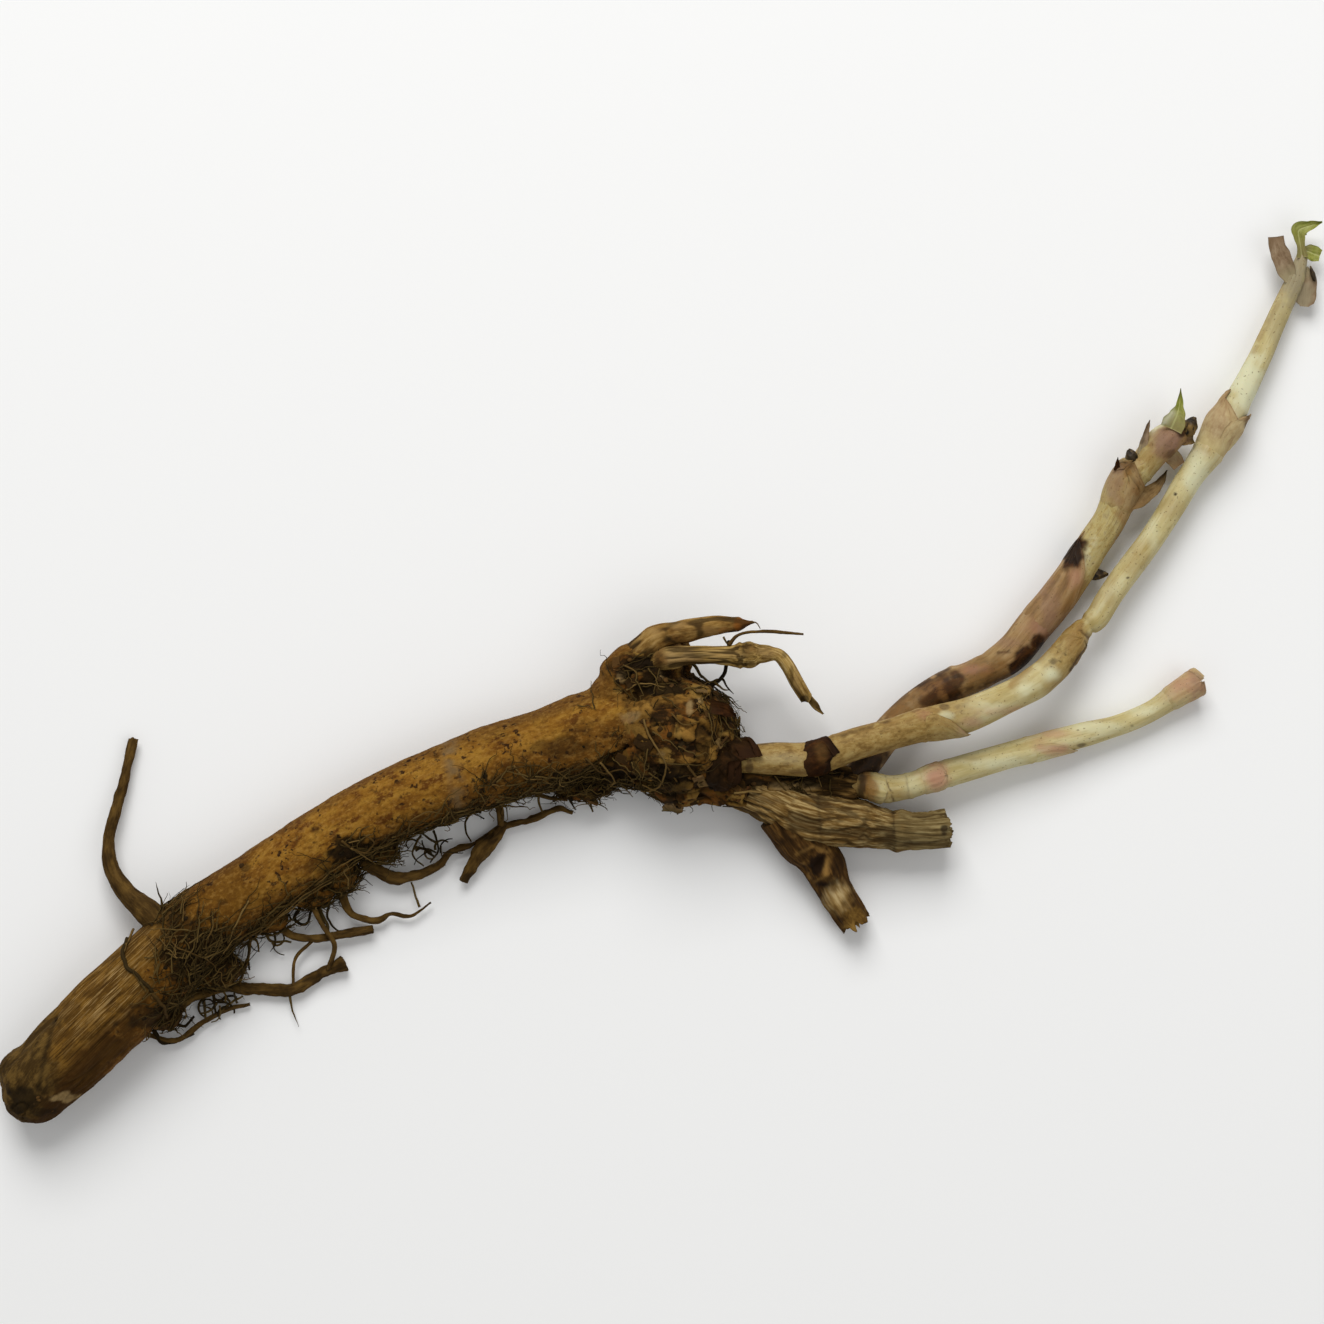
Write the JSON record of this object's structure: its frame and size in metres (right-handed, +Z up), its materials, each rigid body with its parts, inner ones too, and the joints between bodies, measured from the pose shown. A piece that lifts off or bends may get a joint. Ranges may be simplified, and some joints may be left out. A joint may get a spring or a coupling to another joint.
{
  "type": "hop rhizome",
  "caption": "Curved woody rootstock with a knobbly crown, dry stem stubs, thin side roots and pale young shoots with scale leaves, lying on a surface.",
  "frame": {"origin": "the middle of the flat that the rootstock rests on, below the place where the log meets the crown", "axes": "+Z up from the surface it lies on, +X from the cut end of the log towards the shoots, +Y to the side that the long shoots bend to"},
  "size_m": [0.2988, 0.2032, 0.0254],
  "materials": {
    "bark": "ochre brown bark, matt, speckled dark, with lengthwise wrinkles",
    "dark_bark": "dark brown bark, peeled pale in places, matt",
    "old_fibre": "weathered grey-brown fibres, matt",
    "dry_stem": "dry straw-brown stem with lengthwise lines, matt",
    "root_bark": "thin dark brown root bark, matt",
    "cream_shoot": "fleshy cream stem, soft sheen, with faint lengthwise lines",
    "brown_pink_shoot": "fleshy stem under thin brown and pink skin, soft sheen",
    "pink_scale": "thin papery scale leaf, pink-tan, matt",
    "brown_scale": "thin dry scale leaf, red-brown, matt",
    "dark_bud": "almost black bud or dried sheath, faint sheen",
    "green_leaf": "young yellow-green leaf, soft sheen"
  },
  "bodies": {
    "root": {"crown_dark_sheath": "dark_bud", "crown_papery_scale": "brown_scale", "crown_pointed_scale": "brown_scale", "dry_bine": "dry_stem", "dry_bine_tip": "dry_stem", "front_hanging_scale": "pink_scale", "front_joint_collar": "cream_shoot", "front_long_sheath": "cream_shoot", "front_node_scale_left": "pink_scale", "front_node_scale_right": "pink_scale", "front_ring_sheath": "brown_scale", "front_shoot": "cream_shoot", "front_tip_bud": "dark_bud", "front_tip_scale": "pink_scale", "leaf_lower": "green_leaf", "leaf_upper": "green_leaf", "lower_stub": "dark_bark", "old_bine_stub": "old_fibre", "peeled_stub": "dry_stem", "root_crossing": "root_bark", "root_drop": "root_bark", "root_forked": "root_bark", "root_hooked": "root_bark", "root_long": "root_bark", "root_over_crown": "root_bark", "root_runner": "root_bark", "root_spur": "root_bark", "root_thread_left": "root_bark", "root_thread_middle": "root_bark", "root_thread_right": "root_bark", "root_twig": "root_bark", "root_under_end": "root_bark", "rootstock": "bark", "scaly_drooping_scale": "pink_scale", "scaly_long_bud": "dark_bud", "scaly_long_sheath": "brown_pink_shoot", "scaly_node_sheath": "brown_scale", "scaly_round_bud": "dark_bud", "scaly_shoot": "brown_pink_shoot", "scaly_spike": "pink_scale", "scaly_spur": "brown_scale", "scaly_tip_bud": "dark_bud", "scaly_tip_scale": "green_leaf", "short_base_sheath": "cream_shoot", "short_node_scale": "pink_scale", "short_pink_ring": "pink_scale", "short_shoot": "cream_shoot", "short_tip_scale": "pink_scale", "side_root": "root_bark"}
  },
  "joints": []
}
